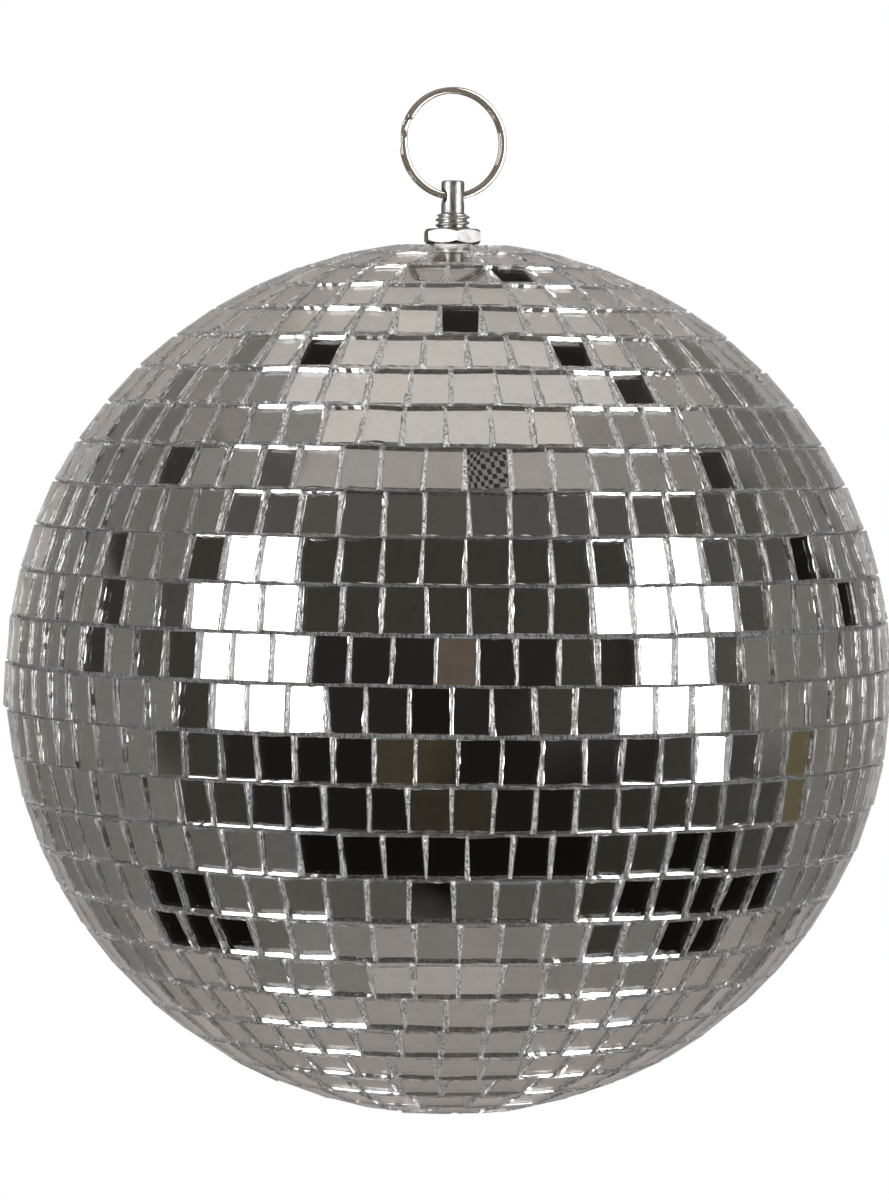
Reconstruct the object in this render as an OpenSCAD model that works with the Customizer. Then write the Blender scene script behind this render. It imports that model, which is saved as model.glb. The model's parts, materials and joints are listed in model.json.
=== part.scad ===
// Mirror ball: a hollow plastic core covered with hand-laid glass mirror tiles,
// hung from a cross-drilled threaded stem by a split ring.
// Origin at the centre of the ball, +Z up along the stem. The front is -Y.

/* [Ball] */
// Diameter over the tile faces at the equator
ball_d = 200; // [197:0.5:203]
// Height over the tile faces, pole to pole; the moulded core is slightly flattened
ball_h = 197.2; // [196:0.1:198]
// Wall thickness of the hollow core
core_wall = 2.4; // [2:0.1:3]
// Thickness of the adhesive coat that the tiles are bedded on
coat_t = 0.5; // [0.4:0.1:0.7]

/* [Tiles] */
// Width of a mirror tile, measured around the ball
tile_w = 8.2; // [8:0.1:8.3]
// Height of a mirror tile, measured from pole to pole
tile_h = 9.7; // [9.2:0.1:9.8]
// Thickness of the tile glass
tile_t = 1.5; // [1.2:0.1:1.7]
// Smallest gap between two tiles of a row
tile_gap = 0.4; // [0.3:0.05:0.6]
// Angle from one row of tiles to the next
row_pitch = 6.2; // [6.15:0.01:6.2]
// Angle of the top row's middle above the equator
top_row_angle = 79.6; // [79.2:0.1:79.8]

/* [Hanging stem] */
// Outside diameter of the stem's thread
thread_d = 7.8; // [7.6:0.1:7.9]
// Pitch of the thread
thread_pitch = 1.25; // [1:0.05:1.5]
// Length of thread that shows above the lock nut
thread_show = 3.4; // [2.8:0.1:3.5]
// Diameter of the plain pin above the thread
pin_d = 5.2; // [5:0.1:5.6]
// Length of the plain pin above the thread
pin_len = 7.5; // [7.5:0.1:8.5]
// Diameter of the cross hole through the pin
cross_hole_d = 3.2; // [3.1:0.05:3.3]
// Height of the cross hole's middle above the foot of the pin
cross_hole_rise = 3.9; // [3.8:0.1:4.2]
// Depth of the stem's lower end below the inner nut
stem_tail = 2.5; // [1:0.5:6]

/* [Nuts and washers] */
// Lock nut's size across its flats
lock_nut_af = 12; // [11.5:0.1:13]
// Lock nut's height
lock_nut_h = 3.4; // [3:0.1:4]
// Inner nut's size across its flats
inner_nut_af = 13; // [12:0.1:13]
// Inner nut's height
inner_nut_h = 6.5; // [5:0.1:7]
// Outside diameter of the washer under the lock nut
top_washer_d = 12.4; // [12:0.1:17]
// Outside diameter of the washer inside the core
inner_washer_d = 24; // [20:0.5:26]
// Thickness of both washers
washer_t = 1.2; // [1.2:0.1:1.8]
// Hole diameter of both washers
washer_hole_d = 8.4; // [8.3:0.1:9]
// Turn of the lock nut about the stem
lock_nut_turn = 38; // [0:1:60]

/* [Split ring] */
// Outside diameter of the split ring
ring_d = 25.4; // [24:0.1:26]
// Width of the ring's wire, measured across the coil
ring_wire_w = 1.5; // [1.3:0.05:1.5]
// Thickness of one coil of the wire
ring_wire_t = 0.97; // [0.8:0.01:1]
// Slit between the two coils
ring_slit = 0.06; // [0.04:0.01:0.1]
// Turn of the cross hole and the ring about the stem, away from facing the front
ring_turn = 20; // [-60:1:60]

/* [Hidden] */
$fn = 96;

// Clearance between pieces that lie against each other
touch = 0.05;
// Semi-axes of the surface that the tile faces touch
face_a = ball_d / 2;
face_b = ball_h / 2;
// Depths of the layers below the tile faces
coat_top = tile_t + 2 * touch;
coat_bottom = coat_top + coat_t;
core_top = coat_bottom + touch;
core_bottom = core_top + core_wall;
// Step of the shells' outline
outline_step = 3;
// The lap joint where the two core halves meet
lap_h = 4;
lap_r = face_a - core_top - core_wall / 2;
// The hub that thickens the core's wall around the stem
hub_r = 14;
hub_z = face_b - core_bottom - 1.5;
// The clearance hole for the stem through the core and the coat
stem_hole_d = thread_d + 0.8;
// Heights of the stacked hardware
top_washer_z = face_b - coat_top + touch;
lock_nut_z = top_washer_z + washer_t + touch;
pin_z = lock_nut_z + lock_nut_h + thread_show;
cross_hole_z = pin_z + cross_hole_rise;
inner_washer_z = hub_z - touch - washer_t;
inner_nut_z = inner_washer_z - touch - inner_nut_h;
stem_bottom_z = inner_nut_z - stem_tail;
// The thread's depth, as on a standard 60 degree thread
thread_depth = 0.61 * thread_pitch;
thread_turns = floor((pin_z - stem_bottom_z) / thread_pitch);
// Radial clearance of a nut's bore over the thread
nut_clearance = 0.08;
// The ring's wire lies just above the middle of the cross hole, where it bears
ring_mean_r = (ring_d - ring_wire_w) / 2;
ring_lift = 0.1;
ring_z = cross_hole_z + ring_lift + ring_mean_r;
// Where the two coils end and where the wire crosses from one coil to the other
front_end_angle = 154;
cross_from_angle = 160;
cross_mid_angle = 171;
cross_to_angle = 182;
back_end_angle = 186;
// How far each row of tiles is turned, as a share of a tile: a tile of the first two rows faces the front, the third
// row has a joint just left of it, and the others fall at random
drawn_shift = rands(0, 1, 27, 8);
row_shift = [for (i = [0 : 26]) i == 0 ? 0.5 : i == 1 ? 0.75 : i == 2 ? 0.11 : drawn_shift[i]];

// The point of an ellipse whose outward normal stands at an angle above the equator
function normal_scale(a, b, angle) = sqrt(pow(a * cos(angle), 2) + pow(b * sin(angle), 2));
function surface_r(angle) = pow(face_a, 2) * cos(angle) / normal_scale(face_a, face_b, angle);
function surface_z(angle) = pow(face_b, 2) * sin(angle) / normal_scale(face_a, face_b, angle);
// The height of the middle of a row of tiles, as an angle above the equator
function row_angle(row) = top_row_angle - (row - 1) * row_pitch;
// The radius of a row's narrowest circle, at the back of the tiles' edge nearest the pole
function narrow_r(angle) = surface_r(angle) - tile_t * cos(angle) - tile_h / 2 * abs(sin(angle));
// The number of tiles that fit round a row without their back corners touching
function tiles_round(angle) = floor(180 / atan((tile_w + tile_gap) / 2 / narrow_r(angle)));

// Solid of revolution at a depth below the tile faces, between two angles
module shell_solid(depth, from_angle, to_angle) {
    rotate_extrude()
        polygon(concat(
            [[0, 0]],
            [for (angle = [from_angle : outline_step : to_angle])
                [(face_a - depth) * cos(angle), (face_b - depth) * sin(angle)]]
        ));
}

module stem_hole() {
    translate([0, 0, face_b - 20]) cylinder(d = stem_hole_d, h = 40);
}

// A ring of rectangular section
module flat_ring(outer_r, inner_r, z, h) {
    translate([0, 0, z]) difference() {
        cylinder(r = outer_r, h = h);
        translate([0, 0, -1]) cylinder(r = inner_r, h = h + 2);
    }
}

module core_upper() {
    color("dimgray") {
        difference() {
            shell_solid(core_top, 0, 90);
            difference() {
                shell_solid(core_bottom, -30, 90);
                translate([0, 0, hub_z]) cylinder(r = hub_r, h = 20);
            }
            stem_hole();
        }
        flat_ring(lap_r - touch, face_a - core_bottom, -lap_h, lap_h + 1);
    }
}

module core_lower() {
    color("dimgray") difference() {
        translate([0, 0, -touch]) shell_solid(core_top, -90, 0);
        shell_solid(core_bottom, -90, 30);
        translate([0, 0, -lap_h - touch]) cylinder(r = lap_r + touch, h = lap_h + 2);
    }
}

module adhesive_coat() {
    color("gainsboro") difference() {
        shell_solid(coat_top, -90, 90);
        shell_solid(coat_bottom, -90, 90);
        stem_hole();
    }
}

// One tile, with its mirror face on the XY plane, looking along +Z
module tile() {
    translate([0, 0, -tile_t / 2]) cube([tile_h, tile_w, tile_t], center = true);
}

module tile_row(row) {
    angle = row_angle(row);
    count = tiles_round(angle);
    color("silver")
        for (i = [0 : count - 1])
            rotate([0, 0, (i + row_shift[row - 1]) * 360 / count])
                translate([surface_r(angle), 0, surface_z(angle)])
                    rotate([0, 90 - angle, 0])
                        tile();
}

module bottom_tile() {
    color("silver") translate([0, 0, -face_b]) rotate([180, 0, 0]) tile();
}

// The stem's threaded length, with a groove for each turn of the thread
module thread() {
    root_r = thread_d / 2 - thread_depth;
    rotate_extrude()
        polygon(concat(
            [[0, stem_bottom_z], [root_r, stem_bottom_z]],
            [for (i = [0 : thread_turns - 1], corner = [[0, 0.1], [1, 0.45], [1, 0.55], [0, 0.9]])
                [root_r + corner[0] * thread_depth,
                 stem_bottom_z + (i + corner[1]) * thread_pitch]],
            [[root_r, pin_z], [0, pin_z]]
        ));
}

module hanging_stem() {
    pin_chamfer = 0.5;
    color("silver") difference() {
        union() {
            thread();
            translate([0, 0, pin_z - 1]) cylinder(d = pin_d, h = pin_len + 1 - pin_chamfer);
            translate([0, 0, pin_z + pin_len - pin_chamfer])
                cylinder(r1 = pin_d / 2, r2 = pin_d / 2 - pin_chamfer, h = pin_chamfer);
        }
        translate([0, 0, cross_hole_z]) rotate([90, 0, 90 + ring_turn])
            cylinder(d = cross_hole_d, h = 2 * pin_d, center = true);
    }
}

// A hexagonal nut with both faces chamfered at 30 degrees
module nut(af, h) {
    corner_r = af / 2 / cos(30);
    chamfer_r = af / 2 * 0.96;
    chamfer_h = (corner_r - chamfer_r) * tan(30);
    difference() {
        intersection() {
            cylinder(r = corner_r, h = h, $fn = 6);
            rotate_extrude()
                polygon([
                    [0, 0], [chamfer_r, 0], [corner_r, chamfer_h],
                    [corner_r, h - chamfer_h], [chamfer_r, h], [0, h]
                ]);
        }
        translate([0, 0, -1]) cylinder(d = thread_d + 2 * nut_clearance, h = h + 2);
    }
}

module lock_nut() {
    color("silver") translate([0, 0, lock_nut_z]) rotate([0, 0, lock_nut_turn])
        nut(lock_nut_af, lock_nut_h);
}

module top_washer() {
    color("silver") flat_ring(top_washer_d / 2, washer_hole_d / 2, top_washer_z, washer_t);
}

module inner_washer() {
    color("silver") flat_ring(inner_washer_d / 2, washer_hole_d / 2, inner_washer_z, washer_t);
}

module inner_nut() {
    color("silver") translate([0, 0, inner_nut_z]) nut(inner_nut_af, inner_nut_h);
}

// One coil of the ring's wire, lying on one side of the ring's middle plane
module coil(from_angle, to_angle, side) {
    rotate([0, 0, from_angle])
        rotate_extrude(angle = to_angle - from_angle)
            translate([ring_mean_r, side * (ring_slit + ring_wire_t) / 2])
                square([ring_wire_w, ring_wire_t], center = true);
}

// A thin slice of the wire at an angle round the ring; side runs from -1 to 1 across the coils
module wire_slice(angle, side) {
    rotate([0, 0, angle])
        translate([ring_mean_r, 0, side * (ring_slit + ring_wire_t) / 2])
            cube([ring_wire_w, 0.3, ring_wire_t], center = true);
}

module split_ring() {
    color("silver") translate([0, 0, ring_z]) rotate([90, 0, ring_turn]) {
        coil(cross_to_angle - 1, front_end_angle + 360, 1);
        coil(back_end_angle, cross_from_angle + 361, -1);
        hull() {
            wire_slice(cross_to_angle, 1);
            wire_slice(cross_mid_angle, 0);
        }
        hull() {
            wire_slice(cross_mid_angle, 0);
            wire_slice(cross_from_angle, -1);
        }
    }
}

core_upper();
core_lower();
adhesive_coat();
tile_row(1);  // tile_row_01
tile_row(2);  // tile_row_02
tile_row(3);  // tile_row_03
tile_row(4);  // tile_row_04
tile_row(5);  // tile_row_05
tile_row(6);  // tile_row_06
tile_row(7);  // tile_row_07
tile_row(8);  // tile_row_08
tile_row(9);  // tile_row_09
tile_row(10);  // tile_row_10
tile_row(11);  // tile_row_11
tile_row(12);  // tile_row_12
tile_row(13);  // tile_row_13
tile_row(14);  // tile_row_14
tile_row(15);  // tile_row_15
tile_row(16);  // tile_row_16
tile_row(17);  // tile_row_17
tile_row(18);  // tile_row_18
tile_row(19);  // tile_row_19
tile_row(20);  // tile_row_20
tile_row(21);  // tile_row_21
tile_row(22);  // tile_row_22
tile_row(23);  // tile_row_23
tile_row(24);  // tile_row_24
tile_row(25);  // tile_row_25
tile_row(26);  // tile_row_26
tile_row(27);  // tile_row_27
bottom_tile();
hanging_stem();
lock_nut();
top_washer();
inner_washer();
inner_nut();
split_ring();
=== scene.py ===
"""A mirror ball: hand-laid glass tiles on a bed of adhesive, hung from a threaded stem by a split ring.

The tiles, the adhesive between them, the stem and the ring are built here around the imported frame. The core,
the adhesive coat on it, the nuts and the washers are the frame's own solids. All lengths are in metres.
"""
import json
import math

import bmesh
import bpy
import numpy as np
from mathutils import Matrix, Quaternion, Vector


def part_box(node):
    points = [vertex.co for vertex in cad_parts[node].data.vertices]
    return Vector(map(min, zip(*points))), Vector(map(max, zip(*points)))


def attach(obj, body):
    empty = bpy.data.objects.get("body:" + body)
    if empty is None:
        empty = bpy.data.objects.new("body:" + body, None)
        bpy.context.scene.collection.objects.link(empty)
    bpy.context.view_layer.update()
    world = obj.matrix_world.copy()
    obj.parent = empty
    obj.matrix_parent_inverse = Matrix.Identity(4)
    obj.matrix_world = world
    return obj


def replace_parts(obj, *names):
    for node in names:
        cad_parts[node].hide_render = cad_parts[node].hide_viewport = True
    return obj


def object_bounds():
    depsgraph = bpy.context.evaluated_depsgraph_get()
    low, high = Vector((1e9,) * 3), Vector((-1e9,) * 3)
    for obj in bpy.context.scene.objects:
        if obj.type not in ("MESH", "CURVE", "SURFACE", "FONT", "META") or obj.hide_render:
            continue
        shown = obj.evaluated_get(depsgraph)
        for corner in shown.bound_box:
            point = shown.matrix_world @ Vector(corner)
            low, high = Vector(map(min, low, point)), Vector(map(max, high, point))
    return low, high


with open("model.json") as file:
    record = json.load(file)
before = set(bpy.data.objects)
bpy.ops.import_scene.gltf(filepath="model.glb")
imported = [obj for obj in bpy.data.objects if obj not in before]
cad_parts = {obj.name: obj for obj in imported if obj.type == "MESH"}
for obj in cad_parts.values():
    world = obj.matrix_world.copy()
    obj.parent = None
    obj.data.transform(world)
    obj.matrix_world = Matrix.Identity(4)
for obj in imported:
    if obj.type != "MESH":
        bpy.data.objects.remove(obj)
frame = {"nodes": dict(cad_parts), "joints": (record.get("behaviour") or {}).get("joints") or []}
cad_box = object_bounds()

MM = 0.001
# Seed of the tiles' random draws; the adhesive between them has the next one
SEED = 8
TILE_NODES = sorted(name for name in frame["nodes"] if name.startswith("tile_row_"))

# ---------------------------------------------------------------- node trees


class Graph:
    """Fills a node tree by short calls. Each call adds one node; sockets may be given as plain values."""

    def __init__(self, owner):
        owner.use_nodes = True
        self.tree = owner.node_tree
        self.tree.nodes.clear()

    def add(self, kind, inputs=None, **settings):
        node = self.tree.nodes.new(kind)
        for name, value in settings.items():
            setattr(node, name, value)
        for key, value in (inputs or {}).items():
            self.feed(node.inputs[key], value)
        return node

    def feed(self, socket, value):
        if isinstance(value, bpy.types.NodeSocket):
            self.tree.links.new(value, socket)
        else:
            socket.default_value = value

    def math(self, operation, first, second=0.0):
        return self.add("ShaderNodeMath", {0: first, 1: second}, operation=operation).outputs[0]

    def ramp(self, value, low, high, to_low=0.0, to_high=1.0):
        """Smooth step from to_low, where value is low, to to_high, where it is high."""
        inputs = {"Value": value, "From Min": low, "From Max": high, "To Min": to_low, "To Max": to_high}
        return self.add("ShaderNodeMapRange", inputs, interpolation_type="SMOOTHSTEP").outputs[0]

    def mix(self, share, first, second):
        node = self.add("ShaderNodeMix", data_type="RGBA")
        self.feed(node.inputs[0], share)
        self.feed(node.inputs[6], first)
        self.feed(node.inputs[7], second)
        return node.outputs[2]

    def noise(self, vector, scale, detail=2.0, roughness=0.5):
        inputs = {"Vector": vector, "Scale": scale, "Detail": detail, "Roughness": roughness}
        return self.add("ShaderNodeTexNoise", inputs).outputs["Fac"]

    def place(self, stretch=(1, 1, 1)):
        """Object coordinates, stretched."""
        coordinates = self.add("ShaderNodeTexCoord").outputs["Object"]
        return self.add("ShaderNodeMapping", {"Vector": coordinates, "Scale": stretch}).outputs[0]

    def bump(self, height, distance):
        return self.add("ShaderNodeBump", {"Height": height, "Distance": distance}).outputs[0]

    def finish(self, surface, kind="ShaderNodeOutputMaterial"):
        output = self.add(kind)
        self.tree.links.new(surface, output.inputs["Surface"])


def linear(red, green, blue):
    """The linear colour of an 8-bit sRGB colour."""
    def one(value):
        value /= 255
        return value / 12.92 if value <= 0.04045 else ((value + 0.055) / 1.055) ** 2.4
    return one(red), one(green), one(blue), 1.0


def material(name):
    made = bpy.data.materials.new(name)
    return made, Graph(made)


# ---------------------------------------------------------------- materials


COOL_SILVER = (0.87, 0.875, 0.88, 1)
WARM_SILVER = (0.90, 0.875, 0.85, 1)
WORN_SILVER = (0.4, 0.4, 0.38, 1)
SNAPPED_GLASS = (0.92, 0.92, 0.92, 1)
# Dull film on plated steel as seen face-on, and the darker colour it takes edge-on: painted shade, a dark
# outline along every edge turned away from the view
FILM_FACE = (156, 144, 132)
FILM_EDGE_SHADE = (112, 103, 94)
# How far the painted edge shade reaches from face to edge, and its share at the edge
EDGE_SHADE_REACH = 0.15
EDGE_SHADE_SHARE = 0.9


def tile_silver():
    """The silvering behind the glass: a bright mirror that differs a little from tile to tile."""
    made, graph = material("tile_silver")
    tint = graph.add("ShaderNodeAttribute", attribute_name="tint").outputs["Fac"]
    spots = graph.ramp(graph.noise(graph.place(), 900, 3), 0.62, 0.75)
    smudges = graph.ramp(graph.noise(graph.place(), 260, 5, 0.65), 0.4, 0.75, 0.0, 0.16)
    worn = graph.math("MAXIMUM", graph.math("MULTIPLY", spots, 0.25), smudges)
    colour = graph.mix(worn, graph.mix(tint, COOL_SILVER, WARM_SILVER), WORN_SILVER)
    waves = graph.noise(graph.place(), 60, 1)
    bsdf = graph.add("ShaderNodeBsdfPrincipled", {
        "Base Color": colour,
        "Metallic": 1.0,
        "Roughness": 0.0,
        "Normal": graph.bump(waves, 0.012 * MM),
    })
    graph.finish(bsdf.outputs[0])
    return made


def tile_glass(name, frost=0.0):
    """Clear glass. Where it was snapped it is rippled, and frosted by the share frost.

    Light on its way to the adhesive passes straight through, as adhesive wetting the glass would receive it.
    """
    made, graph = material(name)
    bsdf = graph.add("ShaderNodeBsdfPrincipled", {
        "Base Color": (0.99, 0.99, 0.99, 1),
        "Roughness": 0.05 if frost else 0.0,
        "IOR": 1.52,
        "Transmission Weight": 1.0,
    })
    surface = bsdf.outputs[0]
    if frost:
        ripples = graph.noise(graph.place(), 1400, 4, 0.65)
        graph.feed(bsdf.inputs["Normal"], graph.bump(ripples, 0.03 * MM))
        snapped = graph.add("ShaderNodeBsdfDiffuse", {"Color": SNAPPED_GLASS}).outputs[0]
        share = graph.ramp(ripples, 0.4, 0.62, 0.3 * frost, 1.7 * frost)
        surface = graph.add("ShaderNodeMixShader", {0: share, 1: surface, 2: snapped}).outputs[0]
    light_path = graph.add("ShaderNodeLightPath").outputs
    passing = graph.math("MAXIMUM", light_path["Is Shadow Ray"], light_path["Is Diffuse Ray"])
    clear = graph.add("ShaderNodeBsdfTransparent").outputs[0]
    surface = graph.add("ShaderNodeMixShader", {0: passing, 1: surface, 2: clear}).outputs[0]
    graph.finish(surface)
    return made


def adhesive(name, dark, pale, shine):
    """Adhesive, smeared and lumpy, between two greys. Shine is how much like a mirror its skin is."""
    made, graph = material(name)
    lumps = graph.noise(graph.place((1, 1, 0.4)), 2200, 4, 0.7)
    share = graph.ramp(lumps, 0.41, 0.54)
    bsdf = graph.add("ShaderNodeBsdfPrincipled", {
        "Base Color": graph.mix(share, (dark, dark, dark, 1), (pale, pale, pale, 1)),
        "Metallic": shine,
        "Roughness": 0.26,
        "Normal": graph.bump(lumps, 0.3 * MM),
    })
    graph.finish(bsdf.outputs[0])
    return made


def plated_steel(name, colour, roughness, rim, tarnish=0.0, grain=1.0):
    """Zinc or nickel plate, stained and scuffed by the amount grain, under a dull film by the share tarnish.

    Where it is seen more nearly edge-on than rim, from 0 face-on to 1 edge-on, it turns dull and brown:
    painted shade that outlines its edges as they are seen, not a film the steel has there.
    """
    made, graph = material(name)
    marks = graph.noise(graph.place((1, 1, 0.15)), 2500, 3, 0.5)
    stains = graph.noise(graph.place(), 500, 3)
    spread = 0.3 * grain
    dark = tuple((1 - spread) * c for c in colour[:3]) + (1.0,)
    low, high = (1 - spread) * roughness, (1 + spread) * roughness
    metal = graph.add("ShaderNodeBsdfPrincipled", {
        "Base Color": graph.mix(graph.ramp(stains, 0.45, 0.75), colour, dark),
        "Metallic": 1.0,
        "Roughness": graph.ramp(graph.math("ADD", marks, stains), 0.7, 1.3, low, high),
    })
    # Painted shade: as the surface turns edge-on to the view, the film darkens and takes over from the metal,
    # drawing a dark outline
    facing = graph.add("ShaderNodeLayerWeight", {"Blend": 0.5}).outputs["Facing"]
    edge = graph.ramp(facing, rim, rim + EDGE_SHADE_REACH)
    film = graph.mix(edge, linear(*FILM_FACE), linear(*FILM_EDGE_SHADE))
    dull = graph.add("ShaderNodeBsdfDiffuse", {"Color": film})
    share = graph.ramp(edge, 0.0, 1.0, tarnish, EDGE_SHADE_SHARE)
    mixed = graph.add("ShaderNodeMixShader", {0: share, 1: metal.outputs[0], 2: dull.outputs[0]})
    graph.finish(mixed.outputs[0])
    return made


def core_plastic():
    """Grey moulded plastic with a fine grain."""
    made, graph = material("core_plastic")
    grain = graph.noise(graph.place(), 1500, 3)
    bsdf = graph.add("ShaderNodeBsdfPrincipled", {
        "Base Color": graph.mix(grain, (0.07, 0.07, 0.075, 1), (0.11, 0.11, 0.115, 1)),
        "Roughness": graph.ramp(grain, 0.2, 0.8, 0.45, 0.65),
        "Normal": graph.bump(grain, 0.05 * MM),
    })
    graph.finish(bsdf.outputs[0])
    return made


# ---------------------------------------------------------------- meshes


def new_piece(name, vertices, faces, materials, body):
    """A mesh object of the ball, riding on a body and taking the finishes it is given."""
    mesh = bpy.data.meshes.new(name)
    mesh.from_pydata([tuple(v) for v in vertices], [], faces)
    for one in materials:
        mesh.materials.append(one)
    piece = bpy.data.objects.new(name, mesh)
    bpy.context.scene.collection.objects.link(piece)
    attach(piece, body)
    return piece


# ---------------------------------------------------------------- tiles


# Points of the frame's mesh closer than this are one point
SAME_POINT = 0.001 * MM
# A tile whose upward axis has less than this left of it lies flat, as the one under the ball does
FLAT = 0.01
# How far the joints between the tiles of a row, and the row's own line, wander
JOINT_DRIFT = 0.42 * MM
ROW_DRIFT = 0.12 * MM
# How far a tile's corners are off square, at its sides and at its two ends
SIDE_SKEW = 0.28 * MM
END_SKEW = 0.06 * MM
# How much a tile's height and depth vary, and how deep or proud it may lie
MEAN_GROWTH = 0.05 * MM
UNEVEN = 0.04 * MM
MOST_UNEVEN = 0.08 * MM
# How far a tile is tipped and turned; a few loose ones are tipped more
TIP = math.radians(0.7)
SPIN = math.radians(0.7)
LOOSE_SHARE = 0.04
LOOSE_TIP = 3.0
# How far a tipped tile may dip below its place before it would touch the coat
CLEARANCE = 0.06 * MM

# Points along each edge of a tile, and the depth that chips reach down its sides
EDGE_STEPS = 6
CHIPPED_DEPTH = 0.35 * MM
# Sizes of the small chips round the face, and of the few big ones in millimetres
SMALL_CHIPS = 0.035 * MM
BIG_CHIP_SHARE = 0.10
BIG_CHIPS = (0.05, 0.22)
# The bevel round the face, the ripple of the snapped sides, and how far they lean in millimetres
FACE_BEVEL = 0.03 * MM
SIDE_RIPPLE = 0.03 * MM
SIDE_LEAN = 0.08
# Slots of a tile's materials
FACE_SLOT, EDGE_SLOT, SILVER_SLOT = 0, 1, 2
# Spread of the tiles' tints, from 0 cool to 1 warm
MEAN_TINT = 0.35
TINT_SPREAD = 0.25


class Tile:
    """One CAD tile: the middle of its face, its axes (side, up, out) and its size."""

    def __init__(self, points, out):
        middle = points.mean(0)
        up = np.array((0, 0, 1)) - out * out[2]
        if np.linalg.norm(up) < FLAT:
            up = np.array((1.0, 0, 0))
        self.out = out
        self.up = up / np.linalg.norm(up)
        self.side = np.cross(self.up, out)
        spread = [np.abs((points - middle) @ axis).max() for axis in (self.side, self.up, self.out)]
        self.half_width, self.half_height, half_thickness = spread
        self.thickness = 2 * half_thickness
        self.face = middle + half_thickness * out
        self.azimuth = math.atan2(middle[1], middle[0])
        self.skew = np.zeros(4)

    def corner(self, across, up):
        """A corner of the face as (side, up) lengths; across and up are -1 or 1."""
        return np.array((across * (self.half_width + up * self.skew[(across + 1) // 2]),
                         up * (self.half_height + across * self.skew[2 + (up + 1) // 2])))

    def edge_point(self, across, share):
        """A point on the left (-1) or right (1) edge of the face, share of the way up it."""
        side, up = self.corner(across, -1) * (1 - share) + self.corner(across, 1) * share
        return self.face + self.side * side + self.up * up

    def turn(self, angle):
        """Turns the tile about the ball's upright axis."""
        turned = np.array(Matrix.Rotation(angle, 3, "Z"))
        self.out, self.up, self.side = turned @ self.out, turned @ self.up, turned @ self.side
        self.face = turned @ self.face


def read_tiles(node):
    """The CAD tiles of a node, in order round the ball."""
    solids = bmesh.new()
    solids.from_mesh(frame["nodes"][node].data)
    bmesh.ops.remove_doubles(solids, verts=solids.verts, dist=SAME_POINT)
    solids.verts.index_update()
    waiting = set(solids.verts)
    tiles = []
    while waiting:
        found = {waiting.pop()}
        grown = list(found)
        while grown:
            near = {edge.other_vert(grown[-1]) for edge in grown[-1].link_edges} - found
            grown.pop()
            grown.extend(near)
            found |= near
        waiting -= found
        points = np.array([vert.co for vert in sorted(found, key=lambda vert: vert.index)])
        middle = Vector(points.mean(0)).normalized()
        faces = {face for vert in found for face in vert.link_faces}
        out = max((face.normal for face in faces), key=lambda normal: normal.dot(middle))
        tiles.append(Tile(points, np.array(out.normalized())))
    solids.free()
    return sorted(tiles, key=lambda tile: tile.azimuth)


def loosen(tiles, rng):
    """Lays a row by hand: uneven widths, a wandering line, and tiles that are not quite flush."""
    count = len(tiles)
    reach = math.hypot(*tiles[0].face[:2])
    shift = rng.uniform(-JOINT_DRIFT, JOINT_DRIFT, count)
    wander = rng.uniform(0, 2 * math.pi, 2)
    # the row's line wanders in two waves, one and three to a turn of the ball
    for i, tile in enumerate(tiles):
        left, right = shift[i], shift[(i + 1) % count]
        tile.half_width += (right - left) / 2
        tile.turn((left + right) / 2 / reach)
        drift = math.sin(tile.azimuth + wander[0]) + 0.6 * math.sin(3 * tile.azimuth + wander[1])
        tile.face = tile.face + tile.up * ROW_DRIFT * drift
    for tile in tiles:
        settle(tile, rng)


def settle(tile, rng):
    """Tips, turns and sinks one tile a little, and varies its height."""
    tile.half_height += rng.normal(MEAN_GROWTH, UNEVEN)
    tile.skew = rng.uniform(-1, 1, 4) * (SIDE_SKEW, SIDE_SKEW, END_SKEW, END_SKEW)
    tile.face = tile.face + tile.out * np.clip(rng.normal(0, UNEVEN), -MOST_UNEVEN, MOST_UNEVEN)
    loose = LOOSE_TIP if rng.random() < LOOSE_SHARE else 1.0
    tips = rng.normal(0, TIP * loose, 2)
    spin = rng.normal(0, SPIN)
    tipped = Matrix.Rotation(tips[0], 3, Vector(tile.up)) @ Matrix.Rotation(tips[1], 3, Vector(tile.side))
    turned = np.array(tipped @ Matrix.Rotation(spin, 3, Vector(tile.out)))
    tile.out, tile.up, tile.side = turned @ tile.out, turned @ tile.up, turned @ tile.side
    dip = tile.half_width * abs(tips[0]) + tile.half_height * abs(tips[1])
    tile.face = tile.face + tile.out * max(0.0, dip - CLEARANCE)


def outline(tile, inset, lean):
    """Points round a tile's edge, as (side, up) pairs, each edge moved in by its own inset and lean."""
    points = []
    corners = [tile.corner(*signs) for signs in ((-1, -1), (1, -1), (1, 1), (-1, 1))]
    inward = ((0, 1), (-1, 0), (0, -1), (1, 0))
    for edge in range(4):
        for step in range(EDGE_STEPS):
            share = step / EDGE_STEPS
            at = corners[edge] * (1 - share) + corners[(edge + 1) % 4] * share
            at = at + np.array(inward[edge]) * (inset[edge, step] + lean[edge])
            if step == 0:
                at = at + np.array(inward[edge - 1]) * (inset[edge, step] + lean[edge - 1])
            points.append(at)
    return np.array(points)


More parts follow.
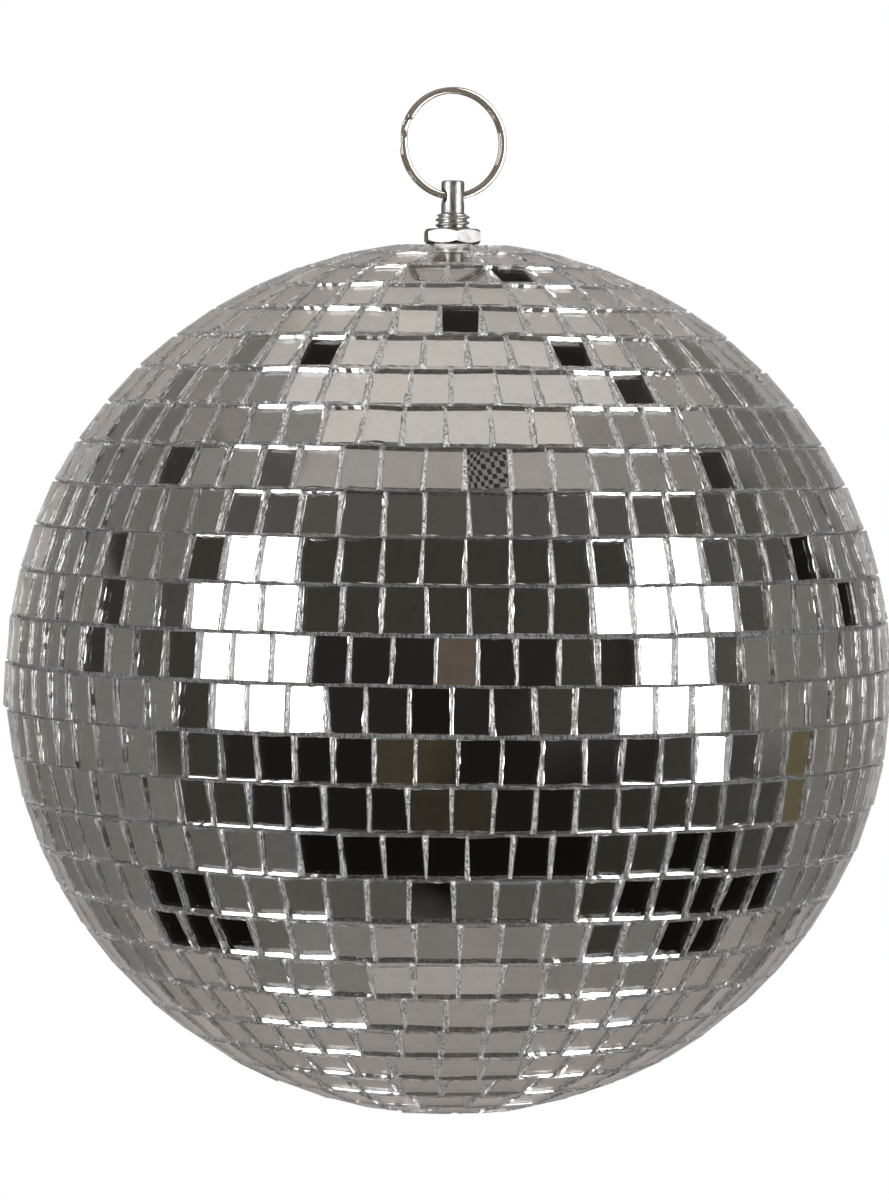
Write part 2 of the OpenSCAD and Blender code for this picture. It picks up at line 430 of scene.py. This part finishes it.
def tile_mesh(tile, rng):
    """One glass tile, with a chipped rim and snapped sides, as vertices, faces and material slots."""
    round_count = 4 * EDGE_STEPS
    chips = np.abs(rng.normal(0, SMALL_CHIPS, (4, EDGE_STEPS)))
    chips += (rng.random((4, EDGE_STEPS)) < BIG_CHIP_SHARE) * rng.uniform(*BIG_CHIPS) * MM
    ripple = rng.normal(0, SIDE_RIPPLE, (4, EDGE_STEPS))
    lean = rng.uniform(-SIDE_LEAN, SIDE_LEAN, 4) * MM
    loops = (
        # how far the edge is moved in, how far it leans, and how far out of the face it lies
        (chips + FACE_BEVEL, np.zeros(4), 0.0),
        (ripple, 0.2 * lean, -CHIPPED_DEPTH),
        (ripple + 0.5 * chips, lean, -tile.thickness),
    )
    vertices = []
    for inset, leaning, rise in loops:
        for across, along in outline(tile, inset, leaning):
            vertices.append(tile.face + tile.side * across + tile.up * along + tile.out * rise)
    faces = [list(range(round_count)), list(range(3 * round_count - 1, 2 * round_count - 1, -1))]
    for loop in (0, round_count):
        for i in range(round_count):
            after = (i + 1) % round_count
            faces.append([loop + i, loop + round_count + i, loop + round_count + after, loop + after])
    slots = [FACE_SLOT, SILVER_SLOT] + [EDGE_SLOT] * (2 * round_count)
    return vertices, faces, slots


def tile_piece(name, tiles, materials, rng):
    """One mesh of many tiles. Each face carries its tile's tint."""
    vertices, faces, slots, tints = [], [], [], []
    for tile in tiles:
        new_vertices, new_faces, new_slots = tile_mesh(tile, rng)
        faces += [[i + len(vertices) for i in face] for face in new_faces]
        vertices += new_vertices
        slots += new_slots
        tints += [float(np.clip(rng.normal(MEAN_TINT, TINT_SPREAD), 0, 1))] * len(new_faces)
    piece = new_piece(name, vertices, faces, materials, "ball")
    piece.data.polygons.foreach_set("material_index", slots)
    piece.data.attributes.new("tint", "FLOAT", "FACE").data.foreach_set("value", tints)
    piece.data.update()
    return piece


def build_tiles():
    """Every row of tiles, and the one under the ball. Returns the rows, for the adhesive between them."""
    materials = [tile_glass("tile_face"), tile_glass("tile_edge", frost=0.05), tile_silver()]
    rng = np.random.default_rng(SEED)
    rows = []
    for node in TILE_NODES:
        tiles = read_tiles(node)
        loosen(tiles, rng)
        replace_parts(tile_piece(node.replace("row", "row_laid"), tiles, materials, rng), node)
        rows.append(tiles)
    last = read_tiles("bottom_tile")
    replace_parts(tile_piece("bottom_tile_laid", last, materials, rng), "bottom_tile")
    return rows


# ---------------------------------------------------------------- adhesive


# Sections along a bead, and the places across it that each section has a point at
BEAD_STEPS = 8
BEAD_SHARES = (0.0, 0.25, 0.5, 0.75, 1.0)
# How deep below the tiles' faces the bead lies against them and at its crest, in millimetres
WALL_DEPTHS = (0.5, 1.0)
MEAN_CREST, CREST_SPREAD = 0.45, 0.15
CREST_DEPTHS = (0.2, 0.8)
CREST_RIPPLE = 0.05 * MM
# How far the bead's sides run short of the tiles' edges or creep over them, in millimetres
CREEP = (-0.03, 0.1)


def bead(left, right, rng):
    """Adhesive squeezed up between two neighbours of a row: an uneven ridge, closed below."""
    wall_depth = rng.uniform(*WALL_DEPTHS, (BEAD_STEPS, 2)) * MM
    mean_crest = np.clip(rng.normal(MEAN_CREST, CREST_SPREAD), *CREST_DEPTHS) * MM
    crest_depth = mean_crest + rng.normal(0, CREST_RIPPLE, BEAD_STEPS)
    creep = rng.uniform(*CREEP, (BEAD_STEPS, 2)) * MM
    out = (left.out + right.out) / 2
    vertices = []
    for step in range(BEAD_STEPS):
        share = step / (BEAD_STEPS - 1)
        start, end = left.edge_point(1, share), right.edge_point(-1, share)
        across = (end - start) / np.linalg.norm(end - start)
        start, end = start - across * creep[step, 0], end + across * creep[step, 1]
        for place in BEAD_SHARES:
            wall = wall_depth[step, 0] * (1 - place) + wall_depth[step, 1] * place
            ridge = 4 * place * (1 - place)
            depth = wall * (1 - ridge) + crest_depth[step] * ridge
            vertices.append(start * (1 - place) + end * place - out * depth)
        vertices += [end - out * left.thickness, start - out * left.thickness]
    section = len(BEAD_SHARES) + 2
    faces = [list(range(section)), list(range(len(vertices) - 1, len(vertices) - 1 - section, -1))]
    for first in range(0, len(vertices) - section, section):
        for i in range(section):
            after = (i + 1) % section
            faces.append([first + i, first + section + i, first + section + after, first + after])
    return vertices, faces


def build_beads(rows):
    """Every ridge of adhesive between the tiles, as one piece."""
    rng = np.random.default_rng(SEED + 1)
    vertices, faces = [], []
    for tiles in rows:
        for i, tile in enumerate(tiles):
            new_vertices, new_faces = bead(tile, tiles[(i + 1) % len(tiles)], rng)
            faces += [[k + len(vertices) for k in face] for face in new_faces]
            vertices += new_vertices
    finish = adhesive("bead_adhesive", 0.28, 1.0, shine=0.75)
    piece = new_piece("adhesive_beads", vertices, faces, [finish], "ball")
    piece.data.shade_smooth()


# ---------------------------------------------------------------- stem


PITCH = 1.25 * MM
THREAD_DEPTH = 0.61 * PITCH
# Width of the thread's ridge at its foot, and how much of that its flanks take up, as shares of the pitch
RIDGE_WIDTH = 0.875
FLANK_WIDTH = 0.75
# Height over which the thread fades out at each end
THREAD_FADE = 0.35 * PITCH
# Points round the stem, and rows of points to one pitch of the thread
STEM_COLUMNS = 72
ROWS_PER_PITCH = 14
PIN_RADIUS = 2.6 * MM
PIN_LENGTH = 7.5 * MM
PIN_FILLET = 0.25 * MM
# The pin's rounded tip: how far in it goes, and how far in and down its middle point is
PIN_CHAMFER = 0.5 * MM
PIN_SHOULDER = 0.15 * MM
# The cross hole, its eased mouths, and how far its middle lies below the ring's hinge
HOLE_RADIUS = 1.6 * MM
HOLE_EASE = 0.25 * MM
HOLE_COLUMNS = 32
HOLE_DROP = 0.1 * MM


def joint(name):
    return next(one for one in frame["joints"] if one["name"] == name)


def round_steps(count):
    """Angles that divide a full turn evenly."""
    return [2 * math.pi * i / count for i in range(count)]


def grid_faces(rows, columns):
    """Quads of a grid of points, closed on itself along each row, and a cap over each end."""
    faces = []
    for row in range(rows - 1):
        below, above = row * columns, (row + 1) * columns
        for i in range(columns):
            after = (i + 1) % columns
            faces.append([below + i, below + after, above + after, above + i])
    last = (rows - 1) * columns
    return faces + [list(range(columns - 1, -1, -1)), list(range(last, last + columns))]


def thread_radius(height, turn, crest, low, high):
    """Radius of a V thread at a height and a turn about the axis, fading out at its two ends."""
    phase = (height / PITCH - turn / (2 * math.pi)) % 1.0
    ridge = np.clip((RIDGE_WIDTH - 2 * abs(phase - 0.5)) / FLANK_WIDTH, 0, 1)
    fade = np.clip(min(height - low, high - height) / THREAD_FADE, 0, 1)
    return crest - THREAD_DEPTH + THREAD_DEPTH * ridge * fade


def build_stem():
    """The hanging stem: a cut thread, and a plain pin above it with a hole through for the ring."""
    low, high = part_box("hanging_stem")
    crest = high.x
    foot = high.z - PIN_LENGTH
    turns = round_steps(STEM_COLUMNS)
    rings = []
    for height in np.arange(low.z, foot, PITCH / ROWS_PER_PITCH):
        rings.append([(thread_radius(height, turn, crest, low.z, foot), height) for turn in turns])
    pin = (
        (PIN_RADIUS + PIN_FILLET, foot),
        (PIN_RADIUS, foot + PIN_FILLET),
        (PIN_RADIUS, high.z - PIN_CHAMFER),
        (PIN_RADIUS - PIN_SHOULDER, high.z - PIN_SHOULDER),
        (PIN_RADIUS - PIN_CHAMFER, high.z),
    )
    rings += [[point] * STEM_COLUMNS for point in pin]
    vertices = [(radius * math.cos(turn), radius * math.sin(turn), height)
                for ring in rings for (radius, height), turn in zip(ring, turns)]
    faces = grid_faces(len(rings), STEM_COLUMNS)
    steel = plated_steel("pin_plate", (0.52, 0.51, 0.50, 1), 0.4, rim=0.35)
    cut_steel = plated_steel("thread_plate", (0.66, 0.65, 0.63, 1), 0.35, rim=0.72)
    piece = new_piece("threaded_stem", vertices, faces, [steel, cut_steel], "ball")
    for face in piece.data.polygons:
        face.material_index = int(face.center.z < foot)
    drill(piece, joint("ring_swing"))
    smooth_by_angle(piece, 35)
    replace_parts(piece, "hanging_stem")


def drill(piece, hinge):
    """Cuts the ring's hole through a piece, along a hinge's axis, with both mouths eased."""
    reach = PIN_RADIUS + 1 * MM
    mouth = math.sqrt(PIN_RADIUS ** 2 - HOLE_RADIUS ** 2) - 0.05 * MM
    throat, eased, flared = HOLE_RADIUS, HOLE_RADIUS + HOLE_EASE, HOLE_RADIUS + 3 * HOLE_EASE
    half = [(mouth - HOLE_EASE, throat), (mouth, eased), (reach, flared)]
    profile = [(-along, radius) for along, radius in reversed(half)] + half
    axis = Vector(hinge["axis"])
    centre = Vector(hinge["pos_m"]) - Vector((0, 0, HOLE_DROP))
    up = Vector((0, 0, 1))
    side = axis.cross(up)
    vertices = [centre + axis * along + radius * (side * math.cos(turn) + up * math.sin(turn))
                for along, radius in profile for turn in round_steps(HOLE_COLUMNS)]
    faces = grid_faces(len(profile), HOLE_COLUMNS)
    mesh = bpy.data.meshes.new("drill")
    mesh.from_pydata([tuple(v) for v in vertices], [], faces)
    outward(mesh)
    outward(piece.data)
    cutter = bpy.data.objects.new("drill", mesh)
    bpy.context.scene.collection.objects.link(cutter)
    cut = piece.modifiers.new("hole", "BOOLEAN")
    cut.operation = "DIFFERENCE"
    cut.solver = "EXACT"
    cut.object = cutter
    bpy.context.view_layer.update()
    drilled = bpy.data.meshes.new_from_object(piece.evaluated_get(bpy.context.evaluated_depsgraph_get()))
    piece.modifiers.clear()
    piece.data = drilled
    bpy.data.objects.remove(cutter)


def outward(mesh):
    """Turns every face of a closed mesh outward."""
    solid = bmesh.new()
    solid.from_mesh(mesh)
    bmesh.ops.recalc_face_normals(solid, faces=solid.faces)
    solid.to_mesh(mesh)
    solid.free()


def smooth_by_angle(piece, degrees):
    """Shades a piece smooth, but for edges sharper than an angle."""
    piece.data.shade_smooth()
    piece.data.set_sharp_from_angle(angle=math.radians(degrees))


# ---------------------------------------------------------------- split ring


WIRE_WIDTH = 1.5 * MM
WIRE_THICKNESS = 0.97 * MM
# How far each coil's middle lies from the ring's middle plane
COIL_OFFSET = 0.515 * MM
# The wire's run in degrees: where its front end is, how far it winds before it crosses to the back coil,
# how long the crossing is, and how far it winds in all
FRONT_END = 154
TO_CROSSING = 332
CROSSING = 22
FULL_SWEEP = 688
# Degrees from one section of the wire to the next, points round a section, and how square the section is,
# from 1 for an oval down to 0 for a rectangle
SWEEP_STEP = 2
SECTION_POINTS = 28
SQUARENESS = 0.65
# How much thinner the wire is at its two ends
END_TAPER = 0.25


def build_ring():
    """The split ring: flat spring wire wound twice round, stepping from the front coil to the back one."""
    hinge = joint("ring_swing")
    up = Vector((0, 0, 1))
    across = Vector(hinge["axis"])
    front = across.cross(up)
    low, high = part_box("split_ring")
    middle = Vector((0, 0, (low.z + high.z) / 2))
    radius = (high.z - low.z - WIRE_WIDTH) / 2
    vertices = []
    steps = FULL_SWEEP // SWEEP_STEP
    for step in range(steps + 1):
        travelled = step * SWEEP_STEP
        angle = math.radians(FRONT_END - travelled)
        passed = np.clip((travelled - TO_CROSSING) / CROSSING, 0, 1)
        offset = COIL_OFFSET * (1 - 2 * passed * passed * (3 - 2 * passed))
        taper = 1 - END_TAPER * (step in (0, steps))
        radial = across * math.cos(angle) + up * math.sin(angle)
        for turn in round_steps(SECTION_POINTS):
            out = squircle(math.cos(turn)) * WIRE_WIDTH / 2 * taper
            fore = squircle(math.sin(turn)) * WIRE_THICKNESS / 2 * taper
            vertices.append(middle + radial * (radius + out) + front * (offset + fore))
    faces = grid_faces(steps + 1, SECTION_POINTS)
    nickel = plated_steel("ring_plate", (0.72, 0.69, 0.66, 1), 0.02, rim=0.3, tarnish=0.45, grain=0.15)
    piece = new_piece("wound_ring", vertices, faces, [nickel], "ring")
    outward(piece.data)
    smooth_by_angle(piece, 40)
    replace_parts(piece, "split_ring")


def squircle(value):
    """Squares off a circle's coordinate, for the section of rolled wire."""
    return math.copysign(abs(value) ** SQUARENESS, value)


# ---------------------------------------------------------------- the frame's own solids


def finish_core():
    """The two half shells and the coat of adhesive on them."""
    plastic = core_plastic()
    for name in ("core_upper", "core_lower"):
        frame["nodes"][name].data.materials[0] = plastic
    # The coat is the beads' adhesive, made much darker: painted shade for the deep joints between the rows,
    # where the coat is what shows
    frame["nodes"]["adhesive_coat"].data.materials[0] = adhesive("coat_adhesive_shaded", 0.06, 0.3, shine=0.0)


def finish_fasteners():
    """The nuts and the washers."""
    zinc = plated_steel("nut_plate", (0.31, 0.305, 0.30, 1), 0.2, rim=0.45)
    pale_zinc = plated_steel("washer_plate", (0.5, 0.49, 0.475, 1), 0.25, rim=0.85)
    for name in ("lock_nut", "inner_nut"):
        dress(name, zinc, 0.12 * MM)
    for name in ("top_washer", "inner_washer"):
        dress(name, pale_zinc, 0.1 * MM)


def dress(node, finish, bevel):
    """Gives a CAD fastener its finish, and eases its edges by modifiers."""
    fastener = frame["nodes"][node]
    fastener.data.materials[0] = finish
    weld = fastener.modifiers.new("weld", "WELD")
    weld.merge_threshold = 0.01 * MM
    ease = fastener.modifiers.new("ease", "BEVEL")
    ease.width = bevel
    ease.segments = 3
    ease.limit_method = "ANGLE"
    ease.angle_limit = math.radians(20)
    ease.harden_normals = True


# ---------------------------------------------------------------- surroundings


# Directions in the studio are degrees from the camera's axis, seen from the ball: azimuth 0 at elevation 0 is
# the camera, and azimuth 180 is behind the ball. The room's colours are 8-bit sRGB.
SOFTBOX_COLOUR = (5.0, 5.0, 4.95, 1.0)
FILL = (0.4, 0.4, 0.4, 1.0)
BACKDROP = (1, 1, 1, 1)
SOFTBOXES = (
    # left, right, low and high edges
    (-70, -37, -14.5, 33),
    (43.5, 76.8, -17, 28),
    (43.5, 60, -19.3, -16.5),
)
SOFTBOX_EDGE = 0.12
SIDE_WALL = (118, 115, 111)
ROOM = (
    # colour, then left, right, low and high edges, and how soft the edges are
    ((112, 109, 105), -140, 140, 20, 42, 2),       # the side walls, darker higher up
    ((172, 166, 162), -181, -153, -91, 91, 3),     # the pale wall behind the ball
    ((172, 166, 162), 153, 181, -91, 91, 3),
    ((172, 166, 162), -160, -144, 5, 36, 2),
    ((60, 57, 52), -79, 84, -60, 40, 1),           # dark wall behind the camera
    ((78, 75, 71), 75, 84, -16, 8, 0.5),
    ((78, 75, 71), 75, 92, 8, 34, 0.5),
    ((84, 81, 77), 90, 107, 8, 34, 0.5),
    ((24, 22, 20), 101, 107, 8, 18, 0.2),
    ((24, 22, 20), 123, 131, 5, 14, 0.2),
    ((40, 38, 34), -60, 60, -60, 10, 2),
    ((28, 26, 24), -50, 40, -54, -8, 1),           # its dark foot
    ((62, 59, 54), 28, 43, -18, 12, 1),
    ((64, 58, 47), -15, -1, -28, -13, 0.5),        # the camera's stand
    ((52, 47, 39), -16, 20, -42, -28, 0.5),
    ((96, 84, 75), -3, 9, 0, 11, 0.3),
    ((100, 96, 92), -92, -54, -60, -33, 0.5),
    ((50, 47, 43), 41, 70, -50, -26, 0.5),
    ((66, 63, 59), 82, 118, -46, -14, 1),
    ((17, 16, 15), -134, -92, -52, -33, 0.3),      # black cloths at the sides
    ((17, 16, 15), 70, 131, -50, -28, 0.3),
    ((17, 16, 15), -46, 40, -54, -38, 0.5),
    ((88, 84, 80), -60, 60, -64, -53, 0.5),
    ((17, 16, 15), -9, 3, -60, -53, 0.3),
    ((96, 90, 68), 106, 113, -21, -8, 0.3),        # a brass pole
    ((90, 84, 62), 115, 125, -29, -20, 0.3),
    ((74, 72, 68), -86, -74, -2, 18, 0.5),
    ((54, 52, 50), -107, -100, -15, 20, 0.3),      # a light stand
    ((136, 132, 128), -140, 138, 40, 66, 1),       # the room above
    ((156, 151, 146), 98, 138, 42, 66, 1),
    ((84, 82, 78), -74, 70, 36, 50, 0.5),
    ((162, 157, 152), -56, 56, 50, 62, 0.5),
    ((204, 198, 192), -181, 181, 62, 91, 1),
    ((186, 180, 174), -181, -125, 50, 70, 1),
    ((186, 180, 174), 125, 181, 50, 70, 1),
    ((164, 158, 153), -181, -145, 34, 50, 1),
    ((164, 158, 153), 145, 181, 34, 50, 1),
    ((126, 122, 117), -130, 130, -76, -62, 0.5),   # the floor
    ((144, 138, 133), -181, 181, -81, -75, 1),
    ((166, 160, 155), -181, 181, -91, -80, 1),
    ((152, 146, 141), -181, -122, -91, -30, 2),
    ((152, 146, 141), 122, 181, -91, -30, 2),
)
STANDS = (
    # colour, then left, right, low and high edges, of dark stands and cloths with sharp edges
    ((56, 54, 52), -112, -98, 33, 50),
    ((50, 48, 46), 94, 108, 30, 43),
    ((50, 48, 46), 104, 117, 48, 60),
    ((34, 32, 30), -132, -114, 61, 71),
    ((34, 32, 30), 112, 127, 61, 69.5),
    ((40, 38, 36), 168, 181, 66.5, 75),
    ((40, 38, 36), -181, -176, 66.5, 75),
    ((36, 34, 32), 168, 177, 37, 46),
    ((120, 116, 112), -60, -52, 50, 75),
)
STAND_EDGE = 0.3
# A perforated screen: its edges, the colour seen through its holes, its own colour, and how closely the holes
# follow each other sideways and upward
SCREEN = (14, 30, 45, 60)
SCREEN_HOLE = (132, 128, 124)
SCREEN_STEEL = (46, 44, 42)
SCREEN_ACROSS = 32
SCREEN_UP = 52
# How far the room's straight edges are bent, and how much of that goes upward
BEND = 3.0
BEND_UP = 0.6


def surroundings():
    """The studio that the tiles mirror: two softboxes beside a dark wall, with a pale ceiling and floor."""
    world = bpy.data.worlds.new("studio")
    bpy.context.scene.world = world
    graph = Graph(world)
    direction = graph.add("ShaderNodeTexCoord").outputs["Camera"]
    direction = graph.add("ShaderNodeVectorMath", {0: direction}, operation="NORMALIZE").outputs[0]
    x, y, z = graph.add("ShaderNodeSeparateXYZ", {0: direction}).outputs
    toward = graph.math("MULTIPLY", z, -1.0)
    azimuth = graph.math("MULTIPLY", graph.math("ARCTAN2", x, toward), 180 / math.pi)
    elevation = graph.math("MULTIPLY", graph.math("ARCSINE", y), 180 / math.pi)
    bend = graph.ramp(graph.noise(direction, 7, 1), 0.2, 0.8, -BEND, BEND)
    bent_across = graph.math("ADD", azimuth, bend)
    bent_up = graph.math("SUBTRACT", elevation, graph.math("MULTIPLY", bend, BEND_UP))

    def patch(colour, left, right, low, high, soft, over, across=azimuth, up=elevation):
        """A soft-edged rectangle of colour between four angles, laid over what is there."""
        share = graph.math("MULTIPLY", graph.ramp(across, left - soft, left + soft),
                           graph.ramp(across, right - soft, right + soft, 1.0, 0.0))
        share = graph.math("MULTIPLY", share, graph.ramp(up, low - soft, low + soft))
        share = graph.math("MULTIPLY", share, graph.ramp(up, high - soft, high + soft, 1.0, 0.0))
        return graph.mix(share, over, colour)

    room = linear(*SIDE_WALL)
    for colour, *edges, soft in ROOM:
        room = patch(linear(*colour), *edges, soft, room, bent_across, bent_up)
    room = patch(perforated(graph, azimuth, elevation), *SCREEN, STAND_EDGE, room)
    for colour, *edges in STANDS:
        room = patch(linear(*colour), *edges, STAND_EDGE, room)
    for edges in SOFTBOXES:
        room = patch(SOFTBOX_COLOUR, *edges, SOFTBOX_EDGE, room)
    light_path = graph.add("ShaderNodeLightPath").outputs
    lit = graph.mix(light_path["Is Diffuse Ray"], room, FILL)
    seen = graph.mix(light_path["Is Camera Ray"], lit, BACKDROP)
    background = graph.add("ShaderNodeBackground", {"Color": seen})
    graph.finish(background.outputs[0], "ShaderNodeOutputWorld")


def perforated(graph, azimuth, elevation):
    """Staggered round holes in a dark sheet, with a pale wall behind them."""
    across = graph.math("SINE", graph.math("MULTIPLY", azimuth, SCREEN_ACROSS))
    up = graph.math("SINE", graph.math("MULTIPLY", elevation, SCREEN_UP))
    holes = graph.math("MULTIPLY", across, up)
    return graph.mix(graph.ramp(holes, -0.1, 0.2), linear(*SCREEN_HOLE), linear(*SCREEN_STEEL))


# The camera's rise above the middle of the object and its roll, in degrees, its distance, its lens in
# millimetres, and its sideways shift as a share of the picture
CAMERA_RISE = 2.3
CAMERA_ROLL = 0.5
CAMERA_DISTANCE = 1.1
CAMERA_LENS = 145.2
CAMERA_SHIFT = -0.004


def camera():
    """A long lens in front of the ball, a little above its middle."""
    low, high = cad_box
    middle = Vector((0, 0, (low.z + high.z) / 2))
    rise = math.radians(CAMERA_RISE)
    back = Vector((0, -math.cos(rise), math.sin(rise)))
    data = bpy.data.cameras.new("camera")
    data.lens = CAMERA_LENS
    data.sensor_width = 36
    data.shift_x = CAMERA_SHIFT
    made = bpy.data.objects.new("camera", data)
    bpy.context.scene.collection.objects.link(made)
    made.location = middle + back * CAMERA_DISTANCE
    made.rotation_mode = "QUATERNION"
    roll = Quaternion((0, 0, 1), math.radians(CAMERA_ROLL))
    made.rotation_quaternion = (-back).to_track_quat("-Z", "Y") @ roll
    bpy.context.scene.camera = made


FLOOR_RADIUS = 8
FLOOR_HEIGHT = -0.6


def floor():
    """A plain white floor, well below the ball. It is clear from underneath, so the ball shows from there."""
    made, graph = material("floor")
    white = graph.add("ShaderNodeEmission", {"Color": BACKDROP}).outputs[0]
    clear = graph.add("ShaderNodeBsdfTransparent").outputs[0]
    underneath = graph.add("ShaderNodeNewGeometry").outputs["Backfacing"]
    graph.finish(graph.add("ShaderNodeMixShader", {0: underneath, 1: white, 2: clear}).outputs[0])
    place = (0, 0, FLOOR_HEIGHT)
    bpy.ops.mesh.primitive_circle_add(vertices=96, radius=FLOOR_RADIUS, fill_type="NGON", location=place)
    disc = bpy.context.object
    disc.name = "floor"
    disc.data.materials.append(made)
    for rays in ("visible_glossy", "visible_diffuse", "visible_transmission", "visible_shadow"):
        setattr(disc, rays, False)


def light_paths():
    """Enough bounces for light to pass into a tile, off its back and out again between its neighbours."""
    scene = bpy.context.scene
    scene.view_settings.view_transform = "Standard"
    scene.cycles.max_bounces = 16
    scene.cycles.glossy_bounces = 10
    scene.cycles.transmission_bounces = 12
    scene.cycles.diffuse_bounces = 4


build_beads(build_tiles())
build_stem()
build_ring()
finish_core()
finish_fasteners()
surroundings()
camera()
floor()
light_paths()
